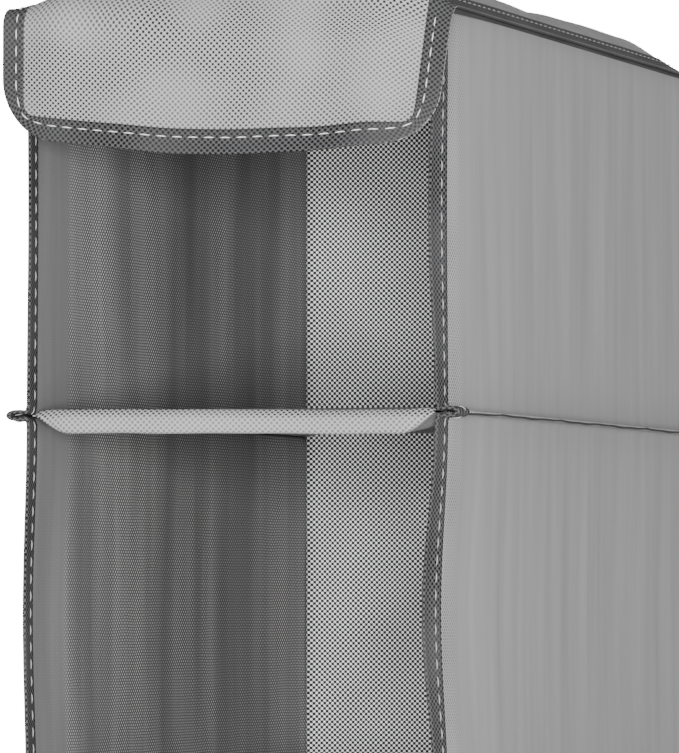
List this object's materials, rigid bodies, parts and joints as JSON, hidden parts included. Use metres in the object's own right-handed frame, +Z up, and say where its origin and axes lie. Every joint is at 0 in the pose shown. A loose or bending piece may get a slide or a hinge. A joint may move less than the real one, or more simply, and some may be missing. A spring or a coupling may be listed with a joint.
{
  "type": "hanging shoe organizer",
  "caption": "Tall narrow fabric column of open shoe compartments, hung from a closet rod on wire hooks, with taped edges and a short front flap.",
  "frame": {"origin": "middle of the closet rod, midway between the two hooks", "axes": "+Z up, +X to the right of a person who faces the open front, the open front faces -Y"},
  "size_m": [0.1702, 0.3345, 1.4904],
  "materials": {
    "light_nonwoven": "matte point-bonded non-woven polypropylene, light grey",
    "dark_nonwoven": "matte point-bonded non-woven polypropylene, dark grey",
    "binding_tape": "dark grey non-woven edge tape, stitched with light thread",
    "grey_board": "uncoated grey paperboard",
    "zinc_plated_steel": "bright zinc plate on bent steel wire"
  },
  "bodies": {
    "carcass": {"side_panel_left": "light_nonwoven", "side_panel_right": "light_nonwoven", "back_panel": "dark_nonwoven", "front_binding_left": "binding_tape", "front_binding_right": "binding_tape", "rear_binding_left": "binding_tape", "rear_binding_right": "binding_tape", "roof_panel": "light_nonwoven", "roof_board": "grey_board", "cover_sheet": "light_nonwoven", "cover_binding": "binding_tape", "roof_seam_binding_left": "binding_tape", "roof_seam_binding_right": "binding_tape", "roof_binding_front": "binding_tape", "roof_binding_rear": "binding_tape", "eyelet_left": "zinc_plated_steel", "eyelet_right": "zinc_plated_steel"},
    "flap": {"front_flap": "light_nonwoven", "flap_binding": "binding_tape"},
    "hook_left": {"hook_left": "zinc_plated_steel", "hook_washer_left": "zinc_plated_steel", "hook_nut_left": "zinc_plated_steel"},
    "hook_right": {"hook_right": "zinc_plated_steel", "hook_washer_right": "zinc_plated_steel", "hook_nut_right": "zinc_plated_steel"},
    "shelf_1": {"shelf_sleeve_1": "light_nonwoven", "shelf_board_1": "grey_board"},
    "shelf_2": {"shelf_sleeve_2": "light_nonwoven", "shelf_board_2": "grey_board"},
    "shelf_3": {"shelf_sleeve_3": "light_nonwoven", "shelf_board_3": "grey_board"},
    "shelf_4": {"shelf_sleeve_4": "light_nonwoven", "shelf_board_4": "grey_board"},
    "shelf_5": {"shelf_sleeve_5": "light_nonwoven", "shelf_board_5": "grey_board"},
    "shelf_6": {"shelf_sleeve_6": "light_nonwoven", "shelf_board_6": "grey_board"},
    "shelf_7": {"shelf_sleeve_7": "light_nonwoven", "shelf_board_7": "grey_board"},
    "shelf_8": {"shelf_sleeve_8": "light_nonwoven", "shelf_board_8": "grey_board"},
    "shelf_9": {"shelf_sleeve_9": "light_nonwoven", "shelf_board_9": "grey_board"},
    "shelf_10": {"shelf_sleeve_10": "light_nonwoven", "shelf_board_10": "grey_board", "hem_binding_left": "binding_tape", "hem_binding_right": "binding_tape", "hem_binding_back": "binding_tape"}
  },
  "joints": [
    {"name": "hook_swivel_left", "type": "hinge", "parent": "carcass", "child": "hook_left", "pos_m": [-0.04, 0, 0], "axis": [0, 0, 1], "continuous": true},
    {"name": "hook_swivel_right", "type": "hinge", "parent": "carcass", "child": "hook_right", "pos_m": [0.04, 0, 0], "axis": [0, 0, 1], "continuous": true},
    {"name": "flap_lift", "type": "hinge", "parent": "carcass", "child": "flap", "pos_m": [0, -0.1525, -0.0753], "axis": [-1, 0, 0], "range_deg": [0, 150]},
    {"name": "fold_1", "type": "slide", "parent": "carcass", "child": "shelf_1", "axis": [0, 0, 1], "range_m": [0, 0.125], "deforming": ["side_panel_left", "side_panel_right", "back_panel", "front_binding_left", "front_binding_right", "rear_binding_left", "rear_binding_right"]},
    {"name": "fold_2", "type": "slide", "parent": "shelf_1", "child": "shelf_2", "axis": [0, 0, 1], "range_m": [0, 0.125]},
    {"name": "fold_3", "type": "slide", "parent": "shelf_2", "child": "shelf_3", "axis": [0, 0, 1], "range_m": [0, 0.125]},
    {"name": "fold_4", "type": "slide", "parent": "shelf_3", "child": "shelf_4", "axis": [0, 0, 1], "range_m": [0, 0.125]},
    {"name": "fold_5", "type": "slide", "parent": "shelf_4", "child": "shelf_5", "axis": [0, 0, 1], "range_m": [0, 0.125]},
    {"name": "fold_6", "type": "slide", "parent": "shelf_5", "child": "shelf_6", "axis": [0, 0, 1], "range_m": [0, 0.125]},
    {"name": "fold_7", "type": "slide", "parent": "shelf_6", "child": "shelf_7", "axis": [0, 0, 1], "range_m": [0, 0.125]},
    {"name": "fold_8", "type": "slide", "parent": "shelf_7", "child": "shelf_8", "axis": [0, 0, 1], "range_m": [0, 0.125]},
    {"name": "fold_9", "type": "slide", "parent": "shelf_8", "child": "shelf_9", "axis": [0, 0, 1], "range_m": [0, 0.125]},
    {"name": "fold_10", "type": "slide", "parent": "shelf_9", "child": "shelf_10", "axis": [0, 0, 1], "range_m": [0, 0.125]}
  ],
  "couplings": [
    {"joint": "fold_2", "follows": "fold_1", "ratio": 1},
    {"joint": "fold_3", "follows": "fold_1", "ratio": 1},
    {"joint": "fold_4", "follows": "fold_1", "ratio": 1},
    {"joint": "fold_5", "follows": "fold_1", "ratio": 1},
    {"joint": "fold_6", "follows": "fold_1", "ratio": 1},
    {"joint": "fold_7", "follows": "fold_1", "ratio": 1},
    {"joint": "fold_8", "follows": "fold_1", "ratio": 1},
    {"joint": "fold_9", "follows": "fold_1", "ratio": 1},
    {"joint": "fold_10", "follows": "fold_1", "ratio": 1}
  ]
}
